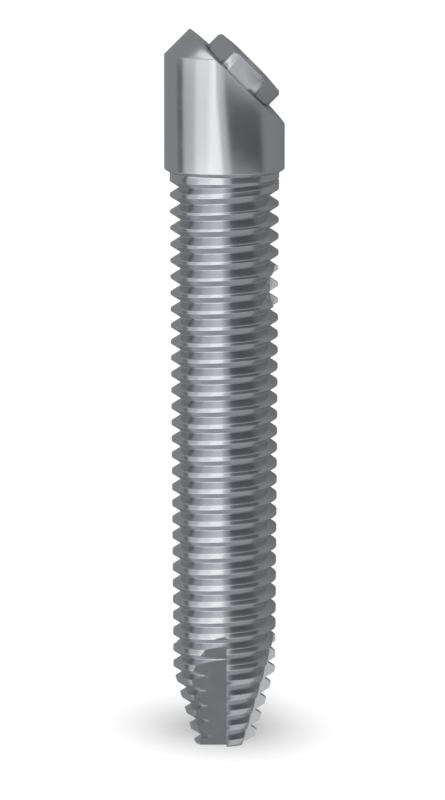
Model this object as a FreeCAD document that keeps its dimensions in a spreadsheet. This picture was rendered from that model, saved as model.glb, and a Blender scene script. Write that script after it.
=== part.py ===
"""Dental implant with a platform at 45 degrees to its axis, in millimetres.

One piece of titanium, turned and milled from bar. It is drawn upright about its own axis, with the
shoulder under the collar at height 0, the collar above it and the bone thread below it. The slanted
platform faces +X, and -Y is the front. At the end the piece is laid on its back, as it comes to rest
on a table: its axis along +Y, the head towards +Y and the front up, turned a little towards +X.
"""
import FreeCAD, Part
import math
import os
import Sketcher

# Every size that can be set by itself, in millimetres, degrees or turns
SIZES = (
    ("collar_diameter", 4.40),
    ("collar_height", 4.18),         # shoulder to the foot of the bevel
    ("bevel_angle", 45.0),           # between the bevel and the axis
    ("platform_height", 3.83),       # shoulder to the platform, on the axis
    ("platform_tilt", 45.0),         # between the platform's normal and the axis
    ("shoulder_drop", 0.13),         # height of the chamfer from the collar in to the neck
    ("neck_diameter", 4.00),         # also the thread's crest at its top
    ("neck_land", 0.19),             # plain length from the chamfer to the middle of the first groove
    ("crest_end_diameter", 3.77),    # the thread's crest where the apical cone starts
    ("body_length", 21.35),          # shoulder to the apical end
    ("cone_length", 2.75),
    ("cone_angle", 16.2),            # between the apical cone and the axis
    ("thread_pitch", 0.60),
    ("core_diameter", 3.18),         # at the bottom of the groove
    ("crest_flat", 0.08),            # width left between two turns of the groove at the neck
    ("run_in_turns", 1.00),          # the groove sinks to the core over these turns
    ("run_in_depth", 0.02),          # how deep the groove starts
    ("run_in_angle", 36.0),          # where the groove starts, from +X, seen from the head
    ("flute_count", 4),
    ("flute_end_depth", 0.64),       # axis to the flute's floor, at the apical end
    ("flute_angle", 16.2),           # between the flute's floor and the axis
    ("rake_offset", 0.07),           # axis to the plane of the flute's cutting wall
    ("notch_drop", 4.36),            # shoulder to the middle of the upper side flute
    ("notch_floor", 1.64),           # axis to the floor of the upper side flute
    ("notch_cutter_diameter", 3.40),
    ("hex_flats", 2.70),             # across flats
    ("hex_height", 0.70),
    ("hex_trim", 0.10),              # turned chamfer on the corners of the hexagon, top and bottom
    ("relief_gap", 0.09),            # round recess outside the corners of the hexagon
    ("relief_depth", 0.05),
    ("screw_bore_diameter", 1.60),
    ("screw_bore_depth", 2.20),      # platform to the end of the full bore
    ("drill_point_angle", 118.0),
    ("bore_lead_in", 0.12),          # chamfer at the mouth of the bore
    ("rest_roll", 10.0),             # how far the front of the lying piece is turned from straight up
)

# The thread's edges are curves of half a turn, each of this many spans
PIECES_PER_TURN = 2
SPANS_PER_PIECE = 3
ARC_STEPS = (0, 1 / 2, 1)            # start, middle and end of a piece
SHORT_STEP = 1e-5                    # of a piece, to measure an edge's direction
SEAM = 1e-5                          # millimetres, between faces that are sewn together

doc = FreeCAD.newDocument("dental_implant")
sheet = doc.addObject("Spreadsheet::Sheet", "sizes")
for row, (alias, value) in enumerate(SIZES, start=1):
    sheet.set("A%d" % row, alias)
    sheet.set("B%d" % row, str(value))
    sheet.setAlias("B%d" % row, alias)
doc.recompute()


def size(alias):
    """Read one driving size from the sheet."""
    return float(getattr(sheet, alias))


def bind(item, setting, text):
    """Tie a setting of a document object to an expression; names in braces are sizes in the sheet."""
    item.setExpression(setting, text.replace("{", "sizes.").replace("}", ""))


def number(text):
    """Work out such an expression once, for the first drawing of a sketch."""
    return float(sheet.evalExpression(text.replace("{", "sizes.").replace("}", "")))


def datum(body, role):
    """One of the body's own base planes or axes."""
    return next(item for item in body.Origin.OriginFeatures if item.Role == role)


def new_sketch(body, name, role):
    """An empty sketch on one of the body's own base planes."""
    sketch = body.newObject("Sketcher::SketchObject", name)
    sketch.AttachmentSupport = (datum(body, role), "")
    sketch.MapMode = "FlatFace"
    return sketch


def move_sketch(sketch, turn_axis, turn, **shifts):
    """Shift a sketch from its base plane, and turn it there."""
    rotation = FreeCAD.Rotation(FreeCAD.Vector(*turn_axis), 1)
    sketch.AttachmentOffset = FreeCAD.Placement(FreeCAD.Vector(), rotation)
    bind(sketch, "AttachmentOffset.Rotation.Angle", turn)
    for direction, text in shifts.items():
        bind(sketch, "AttachmentOffset.Base." + direction, text)


def pin(sketch, line, end, across, up):
    """Hold one end of a line at two expressions, or on an axis of the sketch where one is 0."""
    for kind, axis, text in (("DistanceX", -2, across), ("DistanceY", -1, up)):
        if text == "0":
            sketch.addConstraint(Sketcher.Constraint("PointOnObject", line, end, axis))
        else:
            rule = sketch.addConstraint(Sketcher.Constraint(kind, -1, 1, line, end, number(text)))
            bind(sketch, "Constraints[%d]" % rule, text)


def add_outline(sketch, corners):
    """A closed outline of straight lines through corners that are given as expressions."""
    places = [FreeCAD.Vector(number(across), number(up), 0) for across, up in corners]
    first = sketch.GeometryCount
    count = len(places)
    for index in range(count):
        sketch.addGeometry(Part.LineSegment(places[index], places[(index + 1) % count]), False)
    for index in range(count):
        follower = first + (index + 1) % count
        sketch.addConstraint(Sketcher.Constraint("Coincident", first + index, 2, follower, 1))
    for index, (across, up) in enumerate(corners):
        pin(sketch, first + index, 1, across, up)


def add_circle(sketch, across, up, radius):
    """A circle whose centre and radius are given as expressions."""
    centre = FreeCAD.Vector(number(across), number(up), 0)
    circle = sketch.addGeometry(Part.Circle(centre, FreeCAD.Vector(0, 0, 1), number(radius)), False)
    pin(sketch, circle, 3, across, up)
    rule = sketch.addConstraint(Sketcher.Constraint("Radius", circle, number(radius)))
    bind(sketch, "Constraints[%d]" % rule, radius)


def turn_profile(body, kind, name, sketch):
    """Revolve a sketch once round its own upright axis, as added or as removed material."""
    feature = body.newObject("PartDesign::" + kind, name)
    feature.Profile = sketch
    feature.ReferenceAxis = (sketch, ["V_Axis"])
    feature.Angle = 360
    return feature


def cut_away(body, name, sketch, away_from_normal=True):
    """Remove everything that a sketch sweeps through on one side of its plane."""
    pocket = body.newObject("PartDesign::Pocket", name)
    pocket.Profile = sketch
    pocket.Type = "ThroughAll"
    pocket.Reversed = not away_from_normal
    return pocket


# Expressions that several features share
COLLAR_R = "{collar_diameter} / 2"
NECK_R = "{neck_diameter} / 2"
BEVEL_TIP = "({collar_height} + {collar_diameter} / 2 / tan({bevel_angle}))"
# The peak is where the platform meets the bevel, on the side away from the platform's face
PEAK_R = ("(" + BEVEL_TIP + " - {platform_height})"
          " / (tan({platform_tilt}) + 1 / tan({bevel_angle}))")
# The hexagon stands in the middle of the platform's length
HEX_X = "(({collar_diameter} / 2 - " + PEAK_R + ") / 2)"
HEX_Z = "({platform_height} - " + HEX_X + " * tan({platform_tilt}))"
HEX_CORNER = "{hex_flats} / sqrt(3)"


def turn_head(body):
    """The turned head: full bevel cone, collar and shoulder chamfer, down to the neck."""
    sketch = new_sketch(body, "head_profile", "YZ_Plane")
    add_outline(sketch, (
        ("0", BEVEL_TIP),
        (COLLAR_R, "{collar_height}"),
        (COLLAR_R, "0"),
        (NECK_R, "-{shoulder_drop}"),
        ("0", "-{shoulder_drop}"),
    ))
    return turn_profile(body, "Revolution", "turned_head", sketch)


def mill_platform(body):
    """The slanted platform takes off the right half of the bevel cone and of the collar."""
    sketch = new_sketch(body, "platform_line", "XZ_Plane")
    rise = "{collar_diameter} * tan({platform_tilt})"
    add_outline(sketch, (
        ("-{collar_diameter}", "{platform_height} + " + rise),
        ("{collar_diameter}", "{platform_height} - " + rise),
        ("{collar_diameter}", "{platform_height} + " + rise),
    ))
    pocket = cut_away(body, "platform", sketch)
    pocket.Midplane = True
    return pocket


def platform_sketch(body, name, lift):
    """A sketch parallel to the platform, centred on the hexagon; its normal is the platform's."""
    sketch = new_sketch(body, name, "XY_Plane")
    move_sketch(
        sketch, (0, 1, 0), "{platform_tilt}",
        x=HEX_X + " + (" + lift + ") * sin({platform_tilt})",
        z=HEX_Z + " + (" + lift + ") * cos({platform_tilt})",
    )
    return sketch


def hex_axis_sketch(body, name):
    """A sketch in the middle plane, upright along the hexagon's axis, level 0 on the platform."""
    sketch = new_sketch(body, name, "XZ_Plane")
    move_sketch(sketch, (0, 0, -1), "{platform_tilt}", x=HEX_X, y=HEX_Z)
    return sketch


def mill_hexagon(body):
    """The external hexagon, in a shallow round relief, with its corners turned off at both ends."""
    relief = platform_sketch(body, "relief_circle", "0")
    add_circle(relief, "0", "0", HEX_CORNER + " + {relief_gap}")
    recess = body.newObject("PartDesign::Pocket", "relief")
    recess.Profile = relief
    bind(recess, "Length", "{relief_depth}")

    outline = platform_sketch(body, "hexagon_outline", "-{relief_depth}")
    half_flat = "{hex_flats} / 2"
    half_side = "{hex_flats} / sqrt(3) / 2"
    add_outline(outline, (
        (HEX_CORNER, "0"),
        (half_side, half_flat),
        ("-" + half_side, half_flat),
        ("-" + HEX_CORNER, "0"),
        ("-" + half_side, "-" + half_flat),
        (half_side, "-" + half_flat),
    ))
    hexagon = body.newObject("PartDesign::Pad", "hexagon")
    hexagon.Profile = outline
    bind(hexagon, "Length", "{hex_height} + {relief_depth}")

    trim = hex_axis_sketch(body, "hexagon_trim_profile")
    outside = HEX_CORNER + " + {relief_gap} / 2"
    inside = HEX_CORNER + " - {hex_trim}"
    add_outline(trim, (
        (inside, "{hex_height}"),
        (outside, "{hex_height}"),
        (outside, "{hex_height} - {hex_trim} - {relief_gap} / 2"),
    ))
    add_outline(trim, (
        (inside, "-{relief_depth}"),
        (outside, "-{relief_depth}"),
        (outside, "{hex_trim} + {relief_gap} / 2 - {relief_depth}"),
    ))
    return turn_profile(body, "Groove", "hexagon_trim", trim)


def drill_screw_bore(body):
    """The blind bore for the abutment's screw, with a lead-in and a drill's point."""
    sketch = hex_axis_sketch(body, "screw_bore_profile")
    bore_r = "{screw_bore_diameter} / 2"
    point = "{screw_bore_diameter} / 2 / tan({drill_point_angle} / 2)"
    add_outline(sketch, (
        ("0", "{hex_height}"),
        (bore_r + " + {bore_lead_in}", "{hex_height}"),
        (bore_r, "{hex_height} - {bore_lead_in}"),
        (bore_r, "-{screw_bore_depth}"),
        ("0", "-{screw_bore_depth} - " + point),
    ))
    return turn_profile(body, "Groove", "screw_bore", sketch)


def mill_apical_flutes(body):
    """Cutting flutes at the apex: a wall along the axis and a floor that rises out of the thread."""
    sketch = new_sketch(body, "flute_profile", "YZ_Plane")
    move_sketch(sketch, (0, 0, 1), "0", z="{rake_offset}")
    below = "{thread_pitch}"
    add_outline(sketch, (
        ("-({flute_end_depth} - " + below + " * tan({flute_angle}))", "-{body_length} - " + below),
        ("-{neck_diameter}", "-{body_length} - " + below),
        ("-{neck_diameter}",
         "-{body_length} + ({neck_diameter} - {flute_end_depth}) / tan({flute_angle})"),
    ))
    flute = cut_away(body, "flute", sketch)
    pattern = body.newObject("PartDesign::PolarPattern", "flutes")
    pattern.Originals = [flute]
    pattern.Axis = (datum(body, "Z_Axis"), [""])
    pattern.Angle = 360
    bind(pattern, "Occurrences", "{flute_count}")
    body.Tip = pattern
    return pattern


def mill_side_notch(body):
    """The short flute high on the platform's side, cut by a disc down to just above the core."""
    sketch = new_sketch(body, "notch_circle", "XZ_Plane")
    move_sketch(sketch, (0, 0, 1), "0", z="-{rake_offset}")
    add_circle(
        sketch,
        "{notch_floor} + {notch_cutter_diameter} / 2", "-{notch_drop}",
        "{notch_cutter_diameter} / 2",
    )
    return cut_away(body, "side_notch", sketch, away_from_normal=False)


def threaded_rod():
    """The neck and the whole bone thread as one solid, made of its own crest, flanks and root.

    The groove is a right-hand V that starts shallow, sinks to the core over its first turns, follows
    the core down and then the apical cone. Its edges lie on the slow taper and on the apical cone.
    The rod runs past the apical end, where a helical floor and a step close it.
    """
    pitch = size("thread_pitch")
    neck = size("neck_diameter") / 2
    core = size("core_diameter") / 2
    crest_end = size("crest_end_diameter") / 2
    run_in = size("run_in_turns")
    start_angle = math.radians(size("run_in_angle"))
    half_turn = 1 / PIECES_PER_TURN

    neck_top = -size("shoulder_drop")
    first_groove = neck_top - size("neck_land")
    cone_top = size("cone_length") - size("body_length")
    cone_turn = (first_groove - cone_top) / pitch
    turns_to_end = (first_groove + size("body_length")) / pitch
    # One turn more for the closing floor, and one to have all of it below the apical end
    pieces = math.ceil((turns_to_end + 2) * PIECES_PER_TURN)

    flank = (pitch - size("crest_flat")) / 2 / (neck - core)
    cone_slope = math.tan(math.radians(size("cone_angle")))
    crest_cones = (
        (neck, neck_top, (neck - crest_end) / (neck_top - cone_top)),
        (crest_end, cone_top, cone_slope),
    )

    def root_radius(turn):
        if turn < run_in:
            return core + (neck - size("run_in_depth") - core) * (1 - turn / run_in) ** 2
        return core - pitch * cone_slope * max(0.0, turn - cone_turn)

    def place(turn, side):
        """A point of the groove: its root for side 0, its upper or lower edge for side 1 or -1."""
        angle = start_angle - 2 * math.pi * turn
        root = root_radius(turn)
        middle = first_groove - pitch * turn
        radius = root
        if side:
            # Where the flank meets the nearer of the two crest cones
            radius = min(
                (at + slope * (middle - height - side * flank * root)) / (1 - side * flank * slope)
                for at, height, slope in crest_cones
            )
        height = middle + side * flank * (radius - root)
        return FreeCAD.Vector(radius * math.cos(angle), radius * math.sin(angle), height)

    def on_axis(point):
        return FreeCAD.Vector(0, 0, point.z)

    def on_neck(turn):
        angle = start_angle - 2 * math.pi * turn
        return FreeCAD.Vector(neck * math.cos(angle), neck * math.sin(angle), neck_top)

    def heading(turn, nearby, side):
        """Direction of an edge at one turn, measured over a very short step towards nearby."""
        step = (nearby - turn) * SHORT_STEP
        return (place(turn + step, side) - place(turn, side)) / step

    def edge_pieces(side):
        edges = []
        for piece in range(pieces):
            start, end = piece * half_turn, (piece + 1) * half_turn
            steps = [index / SPANS_PER_PIECE for index in range(SPANS_PER_PIECE + 1)]
            curve = Part.BSplineCurve()
            curve.interpolate(
                Points=[place(start + (end - start) * step, side) for step in steps],
                Parameters=steps,
                InitialTangent=heading(start, end, side) * (end - start),
                FinalTangent=heading(end, start, side) * (end - start),
                Scale=False,
            )
            edges.append(curve.toShape())
        return edges

    def between(edge, other):
        """The ruled face between two edges that run the same way."""
        return Part.makeRuledSurface(edge, other, 1)

    def flat_face(corners):
        return Part.Face(Part.makePolygon(corners + corners[:1]))

    upper, root, lower = edge_pieces(1), edge_pieces(0), edge_pieces(-1)
    rim = [
        Part.Arc(*(on_neck((piece + step) * half_turn) for step in ARC_STEPS)).toShape()
        for piece in range(PIECES_PER_TURN)
    ]
    faces = [Part.Face(Part.Wire(rim))]
    faces += [between(arc, edge) for arc, edge in zip(rim, upper)]
    faces += [between(edge, other) for edge, other in zip(upper, root)]
    faces += [between(edge, other) for edge, other in zip(root, lower)]
    faces += [between(edge, other) for edge, other in zip(lower, upper[PIECES_PER_TURN:])]
    faces.append(flat_face([place(0, side) for side in (1, 0, -1)]))

    last = pieces * half_turn
    floor = [place(last - 1 + index * half_turn, -1) for index in range(PIECES_PER_TURN + 1)]
    middles = [on_axis(point) for point in floor]
    for edge, start, end in zip(lower[-PIECES_PER_TURN:], middles, middles[1:]):
        faces.append(between(edge, Part.LineSegment(start, end).toShape()))
    faces.append(flat_face([floor[0]] + [place(last, side) for side in (1, 0, -1)] + middles[::-1]))

    shell = Part.Compound(faces)
    shell.sewShape(SEAM)
    solid = Part.Solid(shell.Shells[0])
    if solid.Volume < 0:
        solid.reverse()
    return solid


def cut_to_length(body):
    """Part the rod off square at the apical end."""
    sketch = new_sketch(body, "apical_end", "XY_Plane")
    move_sketch(sketch, (0, 0, 1), "0", z="-{body_length}")
    add_circle(sketch, "0", "0", "{collar_diameter}")
    return cut_away(body, "parted_end", sketch)


def lay_down(piece):
    """Lay the piece on its back, on the collar's lower rim and the crest at the top of the cone."""
    rim = size("collar_diameter") / 2
    crest = size("crest_end_diameter") / 2
    lean = math.atan2(rim - crest, size("body_length") - size("cone_length"))
    peak_height = size("platform_height") + number(PEAK_R) * math.tan(math.radians(size("platform_tilt")))
    middle = (peak_height - size("body_length")) / 2
    roll = FreeCAD.Rotation(FreeCAD.Vector(0, 0, 1), size("rest_roll"))
    turn = FreeCAD.Rotation(FreeCAD.Vector(1, 0, 0), math.degrees(lean) - 90) * roll
    seat = FreeCAD.Vector(0, -middle * math.cos(lean), rim * math.cos(lean))
    piece.Placement = FreeCAD.Placement(seat, turn)


head = doc.addObject("PartDesign::Body", "head")
turn_head(head)
mill_platform(head)
mill_hexagon(head)
drill_screw_bore(head)

rod = doc.addObject("Part::Feature", "threaded_rod")
rod.Shape = threaded_rod()
shank = doc.addObject("PartDesign::Body", "shank")
shank.BaseFeature = rod
cut_to_length(shank)
mill_side_notch(shank)
mill_apical_flutes(shank)
doc.recompute()

implant = doc.addObject("Part::Fuse", "implant_body")
implant.Label = "implant_body"
implant.Base = head
implant.Tool = shank
implant.Refine = False
lay_down(implant)
doc.recompute()

for item in doc.Objects:
    if "Invalid" in item.State or "Error" in item.State:
        raise RuntimeError(item.Name + " did not recompute: " + str(item.State))
if implant.Shape.isNull() or not implant.Shape.isValid():
    raise RuntimeError("implant_body is not a valid shape")
if len(implant.Shape.Solids) != 1:
    raise RuntimeError("implant_body is not one solid")

os.makedirs("parts", exist_ok=True)
implant.Shape.exportStep(os.path.join("parts", implant.Label + ".step"))
print("implant_body", round(implant.Shape.Volume, 3), "mm3", len(implant.Shape.Faces), "faces")
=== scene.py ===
"""Looks of a titanium dental implant that lies on a white floor, seen from above, in metres.

The visible body is drawn upright about its own axis in millimetres, shoulder at height 0, platform
towards +X and front towards -Y. It is laid down into the frame when it is finished.
"""
import math

import bmesh
import bpy
from mathutils import Euler, Matrix, Vector


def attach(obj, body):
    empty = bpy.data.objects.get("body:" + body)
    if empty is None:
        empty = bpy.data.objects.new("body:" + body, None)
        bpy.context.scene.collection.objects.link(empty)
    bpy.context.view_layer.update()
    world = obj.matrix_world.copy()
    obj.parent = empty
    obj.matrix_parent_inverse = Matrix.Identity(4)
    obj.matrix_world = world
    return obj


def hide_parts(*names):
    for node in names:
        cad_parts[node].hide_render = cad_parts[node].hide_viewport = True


MM = 0.001

# The implant's sizes, in millimetres
COLLAR_R = 2.2
COLLAR_TOP = 4.18
SHOULDER_DROP = 0.13
NECK_R = 2.0
NECK_LAND = 0.19
CREST_END_R = 1.885
BODY_LENGTH = 21.35
CONE_LENGTH = 2.75
CONE_ANGLE = math.radians(16.2)
PITCH = 0.6
CORE_R = 1.59
CREST_FLAT = 0.08
RUN_IN_DEPTH = 0.02
RUN_IN_ANGLE = math.radians(36)
PLATFORM_HEIGHT = 3.83
PLATFORM_TILT = math.radians(45)
FLUTES = 4
FLUTE_END_DEPTH = 0.64
FLUTE_ANGLE = math.radians(16.2)
RAKE_OFFSET = 0.07
NOTCH_DROP = 4.36
NOTCH_FLOOR = 1.64
NOTCH_R = 1.7
HEX_FLATS = 2.7
HEX_HEIGHT = 0.7
HEX_TRIM = 0.1
RELIEF_GAP = 0.09
RELIEF_DEPTH = 0.05
BORE_R = 0.8
BORE_DEPTH = 2.2
BORE_LEAD_IN = 0.12
DRILL_POINT = math.radians(59)
REST_ROLL = math.radians(10)         # how far the front is turned from straight up towards +X

# How far the visible edges are softened, in millimetres
COLLAR_EDGE = 0.02
PLATFORM_EDGE = 0.012
HEX_EDGE = 0.01
ROOT_FILLET = 0.03
CREST_EDGE = 0.018

# The mesh's fineness
SEGMENTS = 100                       # round the axis; the groove starts on one of them
BORE_SEGMENTS = 64
NOTCH_SEGMENTS = 160
MERGE = 1e-4                         # vertices nearer than this become one
SMOOTH_UP_TO = math.radians(28)      # edges that turn further than this stay sharp

# How far shapes that are joined or cut reach into and past each other, in millimetres
OVERLAP = 0.05
SLIVER = 0.01
HAIR = 0.001

# What follows from the sizes
TIP = COLLAR_TOP + COLLAR_R
PEAK_R = (TIP - PLATFORM_HEIGHT) / 2
HEX_X = (COLLAR_R - PEAK_R) / 2
HEX_Z = PLATFORM_HEIGHT - HEX_X
PLATFORM_MIDDLE = Vector((HEX_X, 0, HEX_Z))
PLATFORM_UP = Vector((math.sin(PLATFORM_TILT), 0, math.cos(PLATFORM_TILT)))
HEX_CORNER = HEX_FLATS / math.sqrt(3)
NECK_TOP = -SHOULDER_DROP
FIRST_GROOVE = NECK_TOP - NECK_LAND
CONE_TOP = CONE_LENGTH - BODY_LENGTH
CONE_TURN = (FIRST_GROOVE - CONE_TOP) / PITCH
FLANK = (PITCH - CREST_FLAT) / 2 / (NECK_R - CORE_R)

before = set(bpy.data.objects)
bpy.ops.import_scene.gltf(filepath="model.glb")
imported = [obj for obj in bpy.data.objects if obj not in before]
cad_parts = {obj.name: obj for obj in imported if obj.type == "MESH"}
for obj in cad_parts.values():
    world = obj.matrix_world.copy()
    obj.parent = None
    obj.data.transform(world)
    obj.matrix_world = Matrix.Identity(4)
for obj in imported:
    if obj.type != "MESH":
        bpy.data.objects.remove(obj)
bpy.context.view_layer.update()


def upright_to_frame():
    """Lays the upright implant on the collar's rim and the crest at the top of its cone."""
    lean = math.atan2(COLLAR_R - CREST_END_R, BODY_LENGTH - CONE_LENGTH)
    middle = (PLATFORM_HEIGHT + PEAK_R - BODY_LENGTH) / 2
    seat = Vector((0, -middle * math.cos(lean), COLLAR_R * math.cos(lean)))
    turn = Matrix.Rotation(lean - math.pi / 2, 4, "X") @ Matrix.Rotation(REST_ROLL, 4, "Z")
    return Matrix.Scale(MM, 4) @ Matrix.Translation(seat) @ turn


LAID = upright_to_frame()


# Shapes

def solid_object(name, shape):
    """A temporary object of one closed shape, in the upright drawing."""
    bmesh.ops.recalc_face_normals(shape, faces=shape.faces)
    mesh = bpy.data.meshes.new(name)
    shape.to_mesh(mesh)
    shape.free()
    piece = bpy.data.objects.new(name, mesh)
    bpy.context.scene.collection.objects.link(piece)
    return piece


def combine(piece, other, operation):
    """Cut, join or intersect piece with other, and drop other."""
    modifier = piece.modifiers.new(other.name, "BOOLEAN")
    modifier.operation = operation
    modifier.solver = "EXACT"
    modifier.object = other
    graph = bpy.context.evaluated_depsgraph_get()
    result = bpy.data.meshes.new_from_object(piece.evaluated_get(graph))
    piece.modifiers.clear()
    shape = bmesh.new()
    shape.from_mesh(result)
    bpy.data.meshes.remove(result)
    bmesh.ops.triangulate(shape, faces=[face for face in shape.faces if len(face.verts) > 4])
    shape.to_mesh(piece.data)
    shape.free()
    piece.data.update()
    drop(other)


def drop(piece):
    """Removes a temporary object with its mesh."""
    mesh = piece.data
    bpy.data.objects.remove(piece)
    bpy.data.meshes.remove(mesh)


def reopened(piece):
    """The shape of a temporary object, to be changed again; the object is dropped."""
    shape = bmesh.new()
    shape.from_mesh(piece.data)
    bmesh.ops.remove_doubles(shape, verts=shape.verts, dist=MERGE)
    drop(piece)
    return shape


def turned(corners, segments=SEGMENTS):
    """A solid of revolution about Z, from an outline of radius and height with its ends on it."""
    shape = bmesh.new()
    points = [shape.verts.new((radius, 0, height)) for radius, height in corners]
    lines = [shape.edges.new(pair) for pair in zip(points, points[1:])]
    bmesh.ops.spin(
        shape, geom=points + lines, cent=(0, 0, 0), axis=(0, 0, 1), angle=2 * math.pi,
        steps=segments, use_merge=True,
    )
    bmesh.ops.remove_doubles(shape, verts=shape.verts, dist=MERGE)
    bmesh.ops.recalc_face_normals(shape, faces=shape.faces)
    return shape


def soften(shape, edges, width):
    """Rounds edges of a shape over a width."""
    bmesh.ops.bevel(
        shape, geom=edges, offset=width, offset_type="OFFSET", segments=2,
        profile=0.5, affect="EDGES", material=-1,
    )


def verts_of(geometry):
    """The vertices in what a bmesh operator gave back."""
    return [item for item in geometry if isinstance(item, bmesh.types.BMVert)]


def everything(shape):
    """All vertices, edges and faces of a shape."""
    return shape.verts[:] + shape.edges[:] + shape.faces[:]


def cut_flat(shape, place, outwards):
    """Cuts off what lies outwards of a plane, closes the shape, and gives the rim's edges."""
    cut = bmesh.ops.bisect_plane(
        shape, geom=everything(shape), dist=MERGE, plane_co=place, plane_no=outwards,
        clear_outer=True,
    )
    rim = [item for item in cut["geom_cut"] if isinstance(item, bmesh.types.BMEdge)]
    bmesh.ops.edgeloop_fill(shape, edges=rim)
    return rim


def ring_edges(shape, radius, height):
    """The edges of one ring of a turned shape."""
    def on_ring(vertex):
        return (abs(math.hypot(vertex.co.x, vertex.co.y) - radius) < MERGE * 10
                and abs(vertex.co.z - height) < MERGE * 10)
    return [edge for edge in shape.edges if all(on_ring(vertex) for vertex in edge.verts)]


def helix_band(pitch, segments, start_angle, first_turn, last_turn, shares):
    """A band of radius 1 wound right-handed about Z, its rows at shares of half a pitch."""
    rows = sorted({side * share for share in shares for side in (-1, 1)})
    shape = bmesh.new()
    angle = start_angle - 2 * math.pi * first_turn
    across = Vector((math.cos(angle), math.sin(angle), 0))
    middle = -pitch * first_turn
    points = [shape.verts.new(across + Vector((0, 0, middle + row * pitch / 2))) for row in rows]
    lines = [shape.edges.new(pair) for pair in zip(points, points[1:])]
    bmesh.ops.spin(
        shape, geom=points + lines, cent=(0, 0, 0), axis=(0, 0, 1),
        dvec=(0, 0, -pitch / segments), angle=-2 * math.pi, steps=segments,
    )
    one_turn = everything(shape)
    for turn in range(1, last_turn - first_turn):
        copy = bmesh.ops.duplicate(shape, geom=one_turn)["geom"]
        bmesh.ops.translate(shape, vec=(0, 0, -pitch * turn), verts=verts_of(copy))
    return shape


def cut_thread(shape, pitch, segments, start_angle, shares, point):
    """Moves each vertex of a band to the radius and height that point(turn, side, row) gives."""
    for vertex in shape.verts:
        angle = start_angle - math.atan2(vertex.co.y, vertex.co.x)
        column = round(angle / (2 * math.pi) * segments)
        part = (column % segments) / segments
        whole = round(-vertex.co.z / pitch - part)
        turn = whole + part
        share = (vertex.co.z + pitch * turn) / (pitch / 2)
        row = min(range(len(shares)), key=lambda index: abs(shares[index] - abs(share)))
        radius, height = point(turn, math.copysign(1, share), row)
        angle = start_angle - 2 * math.pi * turn
        vertex.co = Vector((radius * math.cos(angle), radius * math.sin(angle), height))
    bmesh.ops.remove_doubles(shape, verts=shape.verts, dist=MERGE)


# Rows of the bone thread from the root of the groove to the middle of the crest
BONE_ROWS = (0, 0.1, 0.2, 0.7, 0.75, 0.8, 1.0)


def bone_thread_point(turn, side, row):
    """Radius and height on the bone thread, whose groove has a rounded root and rounded edges."""
    middle = FIRST_GROOVE - PITCH * turn
    side = side if row else 0
    if turn < 0:
        return NECK_R, middle + side * BONE_ROWS[row] * PITCH / 2
    root = CORE_R - PITCH * math.tan(CONE_ANGLE) * max(0.0, turn - CONE_TURN)
    if turn < 1:
        root = CORE_R + (NECK_R - RUN_IN_DEPTH - CORE_R) * (1 - turn) ** 2
    taper = (NECK_R - CREST_END_R) / (NECK_TOP - CONE_TOP)
    cones = ((NECK_R, NECK_TOP, taper), (CREST_END_R, CONE_TOP, math.tan(CONE_ANGLE)))

    def crest(height):
        return min(at + slope * (height - top) for at, top, slope in cones)

    edge = min(
        (at + slope * (middle - top - side * FLANK * root)) / (1 - side * FLANK * slope)
        for at, top, slope in cones
    )
    depth = edge - root
    width = FLANK * depth
    scale = min(1.0, depth / (NECK_R - CORE_R))
    half = math.atan(FLANK)
    ease = ROOT_FILLET * scale
    tangent = ease * math.cos(half) / math.tan(half)
    if row < 2:
        centre = ease / math.sin(half)
        off = row / 2 * ease * math.cos(half)
        return root + centre - math.sqrt(ease ** 2 - off ** 2), middle + side * off
    if row == 2:
        return root + tangent, middle + side * tangent * FLANK
    trim = CREST_EDGE * scale * math.tan((math.pi / 2 - half) / 2)
    if row == 3:
        return edge - trim * math.cos(half), middle + side * (width - trim * math.sin(half))
    if row == 4:
        low = CREST_EDGE * scale * (1 / math.cos((math.pi / 2 - half) / 2) - 1)
        return edge - low * 0.9, middle + side * (width + low * 0.4)
    height = middle + side * (width + trim if row == 5 else PITCH / 2)
    return crest(height), height


TURNS_INTO_COLLAR = 3                # of the plain band above the first groove
TURNS_PAST_APEX = 1.2
SHANK_TOP = 0.7                      # inside the collar


def make_shank():
    """The neck, the bone thread and the apical cone, with the cutting flutes and the side notch."""
    last_turn = math.ceil((FIRST_GROOVE + BODY_LENGTH) / PITCH + TURNS_PAST_APEX)
    shape = helix_band(PITCH, SEGMENTS, RUN_IN_ANGLE, -TURNS_INTO_COLLAR, last_turn, BONE_ROWS)
    cut_thread(shape, PITCH, SEGMENTS, RUN_IN_ANGLE, BONE_ROWS, bone_thread_point)
    cut_flat(shape, (0, 0, SHANK_TOP), (0, 0, 1))
    cut_flat(shape, (0, 0, -BODY_LENGTH), (0, 0, -1))
    shank = solid_object("shank", shape)
    for index in range(FLUTES):
        combine(shank, flute_cutter(index * 2 * math.pi / FLUTES), "DIFFERENCE")
    combine(shank, notch_cutter(), "DIFFERENCE")
    return shank


def flute_cutter(angle):
    """What one cutting flute removes: a wedge between its rake face and its rising floor."""
    shape = bmesh.new()
    below = PITCH
    far = 2 * NECK_R
    corners = (
        (FLUTE_END_DEPTH - below * math.tan(FLUTE_ANGLE), -BODY_LENGTH - below),
        (far, -BODY_LENGTH - below),
        (far, -BODY_LENGTH + (far - FLUTE_END_DEPTH) / math.tan(FLUTE_ANGLE)),
    )
    points = [shape.verts.new((RAKE_OFFSET, -out, height)) for out, height in corners]
    moved = bmesh.ops.extrude_face_region(shape, geom=[shape.faces.new(points)])["geom"]
    bmesh.ops.translate(shape, vec=(-far, 0, 0), verts=verts_of(moved))
    about = Matrix.Rotation(angle, 3, "Z")
    bmesh.ops.rotate(shape, cent=(0, 0, 0), matrix=about, verts=shape.verts)
    return solid_object("flute", shape)


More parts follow.
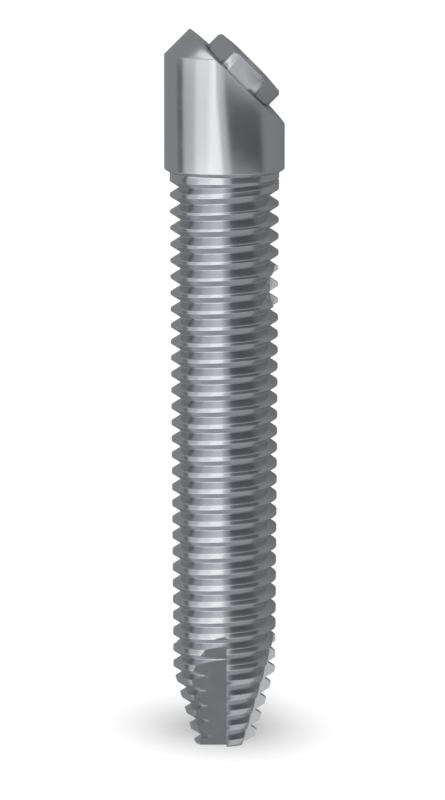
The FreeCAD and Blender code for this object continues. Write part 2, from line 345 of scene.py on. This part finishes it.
def notch_cutter():
    """The disc that cuts the short side flute, up to the rake face's plane."""
    shape = bmesh.new()
    bmesh.ops.create_cone(
        shape, cap_ends=True, segments=NOTCH_SEGMENTS, radius1=NOTCH_R, radius2=NOTCH_R,
        depth=COLLAR_R * 2,
    )
    turn = Matrix.Rotation(math.pi / 2, 4, "X")
    place = Matrix.Translation((NOTCH_FLOOR + NOTCH_R, RAKE_OFFSET - COLLAR_R, -NOTCH_DROP))
    bmesh.ops.transform(shape, matrix=place @ turn, verts=shape.verts)
    return solid_object("notch", shape)


def on_platform():
    """From a drawing round the hexagon's axis, level 0 on the platform, to the upright drawing."""
    return Matrix.Translation(PLATFORM_MIDDLE) @ Matrix.Rotation(PLATFORM_TILT, 4, "Y")


def make_head():
    """The collar with its bevel cone and slanted platform, the hexagon and the screw bore."""
    slope = (COLLAR_R - NECK_R) / SHOULDER_DROP
    inner = NECK_R - OVERLAP
    bottom = -(COLLAR_R - inner) / slope
    shape = turned((
        (0, TIP), (COLLAR_R, COLLAR_TOP), (COLLAR_R, 0), (inner, bottom), (0, bottom),
    ))
    soften(shape, ring_edges(shape, COLLAR_R, COLLAR_TOP), COLLAR_EDGE)
    soften(shape, ring_edges(shape, COLLAR_R, 0), COLLAR_EDGE)
    rim = cut_flat(shape, PLATFORM_MIDDLE, PLATFORM_UP)
    soften(shape, [edge for edge in rim if edge.is_valid], PLATFORM_EDGE)
    head = solid_object("head", shape)

    relief_r = HEX_CORNER + RELIEF_GAP
    relief = turned((
        (0, COLLAR_R), (relief_r, COLLAR_R), (relief_r, -RELIEF_DEPTH), (0, -RELIEF_DEPTH),
    ))
    relief.transform(on_platform())
    combine(head, solid_object("relief", relief), "DIFFERENCE")
    combine(head, make_hexagon(), "UNION")
    combine(head, bore_cutter(), "DIFFERENCE")
    return head


HEX_FOOT = -3 * RELIEF_DEPTH         # inside the collar, below the relief's floor
TRIM_FOOT = -4 * RELIEF_DEPTH
HEX_SHARP = math.radians(25)         # edges that turn further than this are softened


def make_hexagon():
    """The external hexagon, its corners turned off at both ends and its edges a little softened."""
    shape = bmesh.new()
    bmesh.ops.create_cone(
        shape, cap_ends=True, segments=6, radius1=HEX_CORNER, radius2=HEX_CORNER,
        depth=HEX_HEIGHT - HEX_FOOT, matrix=Matrix.Rotation(math.pi / 2, 4, "Z"),
    )
    bmesh.ops.translate(shape, vec=(0, 0, (HEX_HEIGHT + HEX_FOOT) / 2), verts=shape.verts)
    hexagon = solid_object("hexagon", shape)
    narrow, wide = HEX_CORNER - HEX_TRIM - SLIVER, HEX_CORNER + SLIVER
    trim = turned((
        (0, HEX_HEIGHT + SLIVER), (narrow, HEX_HEIGHT + SLIVER),
        (wide, HEX_HEIGHT - HEX_TRIM - SLIVER), (wide, HEX_TRIM - RELIEF_DEPTH + SLIVER),
        (narrow, -RELIEF_DEPTH - SLIVER), (narrow, TRIM_FOOT), (0, TRIM_FOOT),
    ))
    combine(hexagon, solid_object("trim", trim), "INTERSECT")
    shape = reopened(hexagon)
    sharp = [edge for edge in shape.edges
             if edge.is_manifold and edge.calc_face_angle() > HEX_SHARP]
    soften(shape, sharp, HEX_EDGE)
    shape.transform(on_platform())
    return solid_object("hexagon", shape)


# The abutment screw's thread in the bore
BORE_PITCH = 0.4
BORE_ROOT_R = 1.0
BORE_ROWS = (0, 0.1, 0.8, 0.85, 1.0)
BORE_START = math.radians(17)        # where its mesh starts, away from the hexagon's corners
BORE_TURNS = (-2, 5)
BORE_MOUTH = 0.5                     # how far its lead-in cutter reaches past the hexagon's top


def bore_thread_point(turn, side, row):
    """Radius and height on the bore's cutter, whose outside is the root of the groove."""
    radius = BORE_ROOT_R - SLIVER if row < 2 else BORE_R
    return radius, -BORE_PITCH * turn + side * BORE_ROWS[row] * BORE_PITCH / 2


def bore_cutter():
    """The screw bore as a cutter: lead-in, drilled bore with its point, and the thread's groove."""
    shape = helix_band(BORE_PITCH, BORE_SEGMENTS, BORE_START, *BORE_TURNS, BORE_ROWS)
    cut_thread(shape, BORE_PITCH, BORE_SEGMENTS, BORE_START, BORE_ROWS, bore_thread_point)
    cut_flat(shape, (0, 0, HEX_HEIGHT - BORE_LEAD_IN), (0, 0, 1))
    cut_flat(shape, (0, 0, -BORE_DEPTH + BORE_PITCH), (0, 0, -1))
    cutter = solid_object("bore", shape)
    mouth = HEX_HEIGHT + BORE_MOUTH
    drill = turned((
        (0, mouth), (BORE_R + BORE_LEAD_IN + BORE_MOUTH, mouth),
        (BORE_R - HAIR, HEX_HEIGHT - BORE_LEAD_IN - HAIR), (BORE_R - HAIR, -BORE_DEPTH),
        (0, -BORE_DEPTH - BORE_R / math.tan(DRILL_POINT)),
    ), BORE_SEGMENTS)
    combine(cutter, solid_object("drill", drill), "UNION")
    shape = reopened(cutter)
    shape.transform(on_platform())
    return solid_object("bore", shape)


def on_flat(face):
    """Whether a face lies on the platform, or on the hexagon's top or sides, which stay flat."""
    off = face.center - PLATFORM_MIDDLE
    height = off.dot(PLATFORM_UP)
    along = abs(face.normal.dot(PLATFORM_UP))
    outside = (off - PLATFORM_UP * height).length > HEX_FLATS / 2 - 2 * HEX_EDGE
    return along > 0.999 or (along < 0.01 and height > 0 and outside)


def make_implant(metal):
    """The whole implant in one closed mesh, laid down into the frame."""
    piece = make_head()
    combine(piece, make_shank(), "UNION")
    mesh = piece.data
    piece.name = mesh.name = "titanium_implant"
    for face in mesh.polygons:
        face.use_smooth = not on_flat(face)
        face.material_index = 0
    mesh.transform(LAID)
    mesh.materials.clear()
    mesh.materials.append(metal)
    mesh.set_sharp_from_angle(angle=SMOOTH_UP_TO)
    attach(piece, "root")
    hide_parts("implant_body")
    return piece


# Materials

def node(tree, kind, **settings):
    """A new node with its settings."""
    made = tree.nodes.new(kind)
    for name, value in settings.items():
        setattr(made, name, value)
    return made


ROUGHNESS = 0.22
UNEVEN = 0.02                        # how far the roughness strays from that
TITANIUM_DARK = (0.595, 0.605, 0.63, 1)
TITANIUM_LIGHT = (0.625, 0.635, 0.66, 1)
RING_SCALE = (0.35, 0.35, 14.0)      # per millimetre: long round the axis, fine along it
RING_DEPTH = 2e-6                    # metres
RING_STRENGTH = 0.12
CLOUD_SCALE = 1.3                    # per millimetre


def titanium():
    """Turned, lightly polished titanium: fine rings round the axis and a slightly uneven sheen."""
    material = bpy.data.materials.new("titanium")
    material.use_nodes = True
    tree = material.node_tree
    links = tree.links
    shader = tree.nodes["Principled BSDF"]
    shader.inputs["Metallic"].default_value = 1.0
    place = node(tree, "ShaderNodeTexCoord")
    # The drawing's own axes: Z along the implant, in millimetres
    upright = node(tree, "ShaderNodeMapping", vector_type="TEXTURE")
    where, turn, scale = LAID.decompose()
    upright.inputs["Location"].default_value = where
    upright.inputs["Rotation"].default_value = turn.to_euler()
    upright.inputs["Scale"].default_value = scale
    links.new(place.outputs["Object"], upright.inputs["Vector"])

    rings = node(tree, "ShaderNodeTexNoise", noise_dimensions="3D")
    squeeze = node(tree, "ShaderNodeMapping")
    squeeze.inputs["Scale"].default_value = RING_SCALE
    links.new(upright.outputs["Vector"], squeeze.inputs["Vector"])
    links.new(squeeze.outputs["Vector"], rings.inputs["Vector"])
    rings.inputs["Scale"].default_value = 1.0
    rings.inputs["Detail"].default_value = 4.0
    rings.inputs["Roughness"].default_value = 0.6
    bump = node(tree, "ShaderNodeBump")
    bump.inputs["Strength"].default_value = RING_STRENGTH
    bump.inputs["Distance"].default_value = RING_DEPTH
    links.new(rings.outputs["Fac"], bump.inputs["Height"])
    links.new(bump.outputs["Normal"], shader.inputs["Normal"])

    cloud = node(tree, "ShaderNodeTexNoise", noise_dimensions="3D")
    links.new(upright.outputs["Vector"], cloud.inputs["Vector"])
    cloud.inputs["Scale"].default_value = CLOUD_SCALE
    cloud.inputs["Detail"].default_value = 5.0
    sheen = node(tree, "ShaderNodeMapRange")
    sheen.inputs["From Min"].default_value = 0.3
    sheen.inputs["From Max"].default_value = 0.7
    sheen.inputs["To Min"].default_value = ROUGHNESS - UNEVEN
    sheen.inputs["To Max"].default_value = ROUGHNESS + UNEVEN
    links.new(cloud.outputs["Fac"], sheen.inputs["Value"])
    links.new(sheen.outputs["Result"], shader.inputs["Roughness"])
    tint = node(tree, "ShaderNodeMix", data_type="RGBA")
    tint.inputs["A"].default_value = TITANIUM_DARK
    tint.inputs["B"].default_value = TITANIUM_LIGHT
    links.new(cloud.outputs["Fac"], tint.inputs["Factor"])
    links.new(tint.outputs["Result"], shader.inputs["Base Color"])
    return material


FLOOR_COLOUR = (0.34, 0.34, 0.34, 1)
FLOOR_LIFT = 0.92                    # added to the lit floor, which brings it to white
APEX_PAINTED_SHADOW_LIFT = 0.1                      # the same in the middle of the painted shadow under the apex, which makes the floor grey there
FLOOR_IN_METAL = 0.08                # the share of the lift that the metal mirrors
# Where the painted shadow round the apex lies and how far it reaches, in metres
APEX_PAINTED_SHADOW_MIDDLE = (-0.0005, -0.0131, 0)
APEX_PAINTED_SHADOW_REACH = (0.0075, 0.0023, 1)


def floor_material():
    """A pale floor: lit and shadowed by the lamps, and lifted to white where the camera sees it,
    except round the apex, where less lift paints a grey shadow.
    """
    material = bpy.data.materials.new("white_floor")
    material.use_nodes = True
    tree = material.node_tree
    links = tree.links
    tree.nodes.remove(tree.nodes["Principled BSDF"])
    matt = node(tree, "ShaderNodeBsdfDiffuse")
    matt.inputs["Color"].default_value = FLOOR_COLOUR
    glow = node(tree, "ShaderNodeEmission")
    place = node(tree, "ShaderNodeTexCoord")
    # Less of the lift round the apex: a painted shadow that greys the floor there and also lets the
    # real cast shadow show
    apex = node(tree, "ShaderNodeMapping", vector_type="TEXTURE")
    apex.inputs["Location"].default_value = APEX_PAINTED_SHADOW_MIDDLE
    apex.inputs["Scale"].default_value = APEX_PAINTED_SHADOW_REACH
    links.new(place.outputs["Object"], apex.inputs["Vector"])
    painted_shadow_ball = node(tree, "ShaderNodeTexGradient", gradient_type="QUADRATIC_SPHERE")
    links.new(apex.outputs["Vector"], painted_shadow_ball.inputs["Vector"])
    lift = node(tree, "ShaderNodeMapRange")
    lift.inputs["To Min"].default_value = FLOOR_LIFT
    lift.inputs["To Max"].default_value = APEX_PAINTED_SHADOW_LIFT
    links.new(painted_shadow_ball.outputs["Fac"], lift.inputs["Value"])
    # The camera sees the whole lift and the metal a share of it
    path = node(tree, "ShaderNodeLightPath")
    gloss = node(tree, "ShaderNodeMath", operation="MULTIPLY_ADD")
    gloss.inputs[1].default_value = FLOOR_IN_METAL
    links.new(path.outputs["Is Glossy Ray"], gloss.inputs[0])
    links.new(path.outputs["Is Camera Ray"], gloss.inputs[2])
    seen = node(tree, "ShaderNodeMath", operation="ADD")
    links.new(gloss.outputs[0], seen.inputs[0])
    links.new(path.outputs["Is Transmission Ray"], seen.inputs[1])
    strength = node(tree, "ShaderNodeMath", operation="MULTIPLY")
    links.new(lift.outputs["Result"], strength.inputs[0])
    links.new(seen.outputs[0], strength.inputs[1])
    links.new(strength.outputs[0], glow.inputs["Strength"])
    both = node(tree, "ShaderNodeAddShader")
    links.new(matt.outputs[0], both.inputs[0])
    links.new(glow.outputs[0], both.inputs[1])
    links.new(both.outputs[0], tree.nodes["Material Output"].inputs["Surface"])
    return material


# Stage

FLOOR_REACH = 0.4                    # metres, to each side


def make_floor():
    """The floor that the implant lies on."""
    shape = bmesh.new()
    bmesh.ops.create_grid(shape, x_segments=1, y_segments=1, size=FLOOR_REACH)
    mesh = bpy.data.meshes.new("white_floor")
    shape.to_mesh(mesh)
    shape.free()
    mesh.materials.append(floor_material())
    floor = bpy.data.objects.new("white_floor", mesh)
    bpy.context.scene.collection.objects.link(floor)


PICTURE_HEIGHT = 800                 # pixels
FOCAL_PIXELS = 5416
SENSOR = 36                          # millimetres
CAMERA_PLACE = (-1.416, -196.500, 22.108)   # millimetres, in the upright drawing
CAMERA_TILT = (math.radians(-7.898), math.radians(-0.392), 0)
CAMERA_RAISE = math.radians(89.02975)


def set_camera():
    """A long lens in front of the upright implant, raised a little, laid down with it."""
    data = bpy.data.cameras.new("camera")
    data.sensor_fit = "AUTO"
    data.sensor_width = SENSOR
    data.lens = FOCAL_PIXELS / PICTURE_HEIGHT * SENSOR
    data.clip_start = 0.01
    data.clip_end = 10
    camera = bpy.data.objects.new("camera", data)
    bpy.context.scene.collection.objects.link(camera)
    aim = LAID.to_quaternion().to_matrix() @ Matrix.Rotation(CAMERA_RAISE, 3, "X")
    camera.rotation_euler = (aim @ Euler(CAMERA_TILT, "XYZ").to_matrix()).to_euler()
    camera.location = LAID @ Vector(CAMERA_PLACE)
    bpy.context.scene.camera = camera


STUDIO_MIDDLE = Vector((0, 0, -8))   # millimetres, in the upright drawing
BOX_DISTANCE = 120                   # millimetres


def soft_box(name, around, up, width, height, brightness):
    """A soft box at angles in degrees from the implant's front: around to the right, and up."""
    across, rise = math.radians(around), math.radians(up)
    level = math.cos(rise)
    towards = Vector((math.sin(across) * level, -math.cos(across) * level, math.sin(rise)))
    data = bpy.data.lights.new(name, "AREA")
    data.shape = "RECTANGLE"
    data.size = width * MM
    data.size_y = height * MM
    data.energy = brightness * math.pi * data.size * data.size_y
    lamp = bpy.data.objects.new(name, data)
    bpy.context.scene.collection.objects.link(lamp)
    laid = LAID.to_quaternion().to_matrix()
    back = laid @ towards
    side = (laid @ Vector((0, 0, 1))).cross(back).normalized()
    lamp.rotation_euler = Matrix((side, back.cross(side), back)).transposed().to_euler()
    lamp.location = LAID @ (STUDIO_MIDDLE + towards * BOX_DISTANCE)


WORLD_COLOUR = (0.97, 0.98, 1, 1)
WORLD_FILL = 0.12
ENDS_FILL = 0.66                     # the world's strength beyond the head and beyond the apex
HEAD_END = (0.03, 0.18)              # how far a direction points along the implant, start and full
APEX_END = (-0.32, -0.45)
PATCH = (0, -0.656, 0.755)           # the direction that the front flute's floor mirrors
PATCH_EDGE = (0.9, 0.95)             # how near to it a direction points, start and full
PATCH_KEEPS = 0.2                    # the share of the ends' fill that is left there


def smooth_step(tree, value, start, full, at_start, at_full):
    """Goes smoothly from one value to another while the input goes from start to full."""
    step = node(tree, "ShaderNodeMapRange", interpolation_type="SMOOTHSTEP")
    step.inputs["From Min"].default_value = start
    step.inputs["From Max"].default_value = full
    step.inputs["To Min"].default_value = at_start
    step.inputs["To Max"].default_value = at_full
    tree.links.new(value, step.inputs["Value"])
    return step.outputs["Result"]


def set_world():
    """Dim all round, brighter beyond both ends of the implant, and white to the camera."""
    world = bpy.data.worlds.new("studio")
    bpy.context.scene.world = world
    world.use_nodes = True
    tree = world.node_tree
    links = tree.links
    dim = tree.nodes["Background"]
    dim.inputs["Color"].default_value = WORLD_COLOUR
    place = node(tree, "ShaderNodeTexCoord")
    along = node(tree, "ShaderNodeSeparateXYZ")
    links.new(place.outputs["Generated"], along.inputs[0])
    ends = node(tree, "ShaderNodeMath", operation="ADD")
    for index, (start, full) in enumerate((HEAD_END, APEX_END)):
        extra = smooth_step(tree, along.outputs["Y"], start, full, 0, ENDS_FILL - WORLD_FILL)
        links.new(extra, ends.inputs[index])
    near = node(tree, "ShaderNodeVectorMath", operation="DOT_PRODUCT")
    near.inputs[1].default_value = PATCH
    links.new(place.outputs["Generated"], near.inputs[0])
    keep = smooth_step(tree, near.outputs["Value"], *PATCH_EDGE, 1, PATCH_KEEPS)
    whole = node(tree, "ShaderNodeMath", operation="MULTIPLY_ADD")
    links.new(ends.outputs[0], whole.inputs[0])
    links.new(keep, whole.inputs[1])
    whole.inputs[2].default_value = WORLD_FILL
    links.new(whole.outputs[0], dim.inputs["Strength"])
    white = node(tree, "ShaderNodeBackground")
    white.inputs["Color"].default_value = (1, 1, 1, 1)
    path = node(tree, "ShaderNodeLightPath")
    mix = node(tree, "ShaderNodeMixShader")
    links.new(path.outputs["Is Camera Ray"], mix.inputs[0])
    links.new(dim.outputs[0], mix.inputs[1])
    links.new(white.outputs[0], mix.inputs[2])
    links.new(mix.outputs[0], tree.nodes["World Output"].inputs["Surface"])


set_camera()
set_world()
make_floor()
make_implant(titanium())
soft_box("key", -17, -8, 55, 105, 1.22)
soft_box("edge_of_key", 3, -8, 38, 105, 0.52)
soft_box("side", -44, -8, 60, 105, 0.9)
soft_box("low_side", -72, -8, 60, 105, 0.5)
soft_box("over_head", -60, 76, 60, 50, 0.55)
bpy.context.scene.view_settings.view_transform = "Standard"
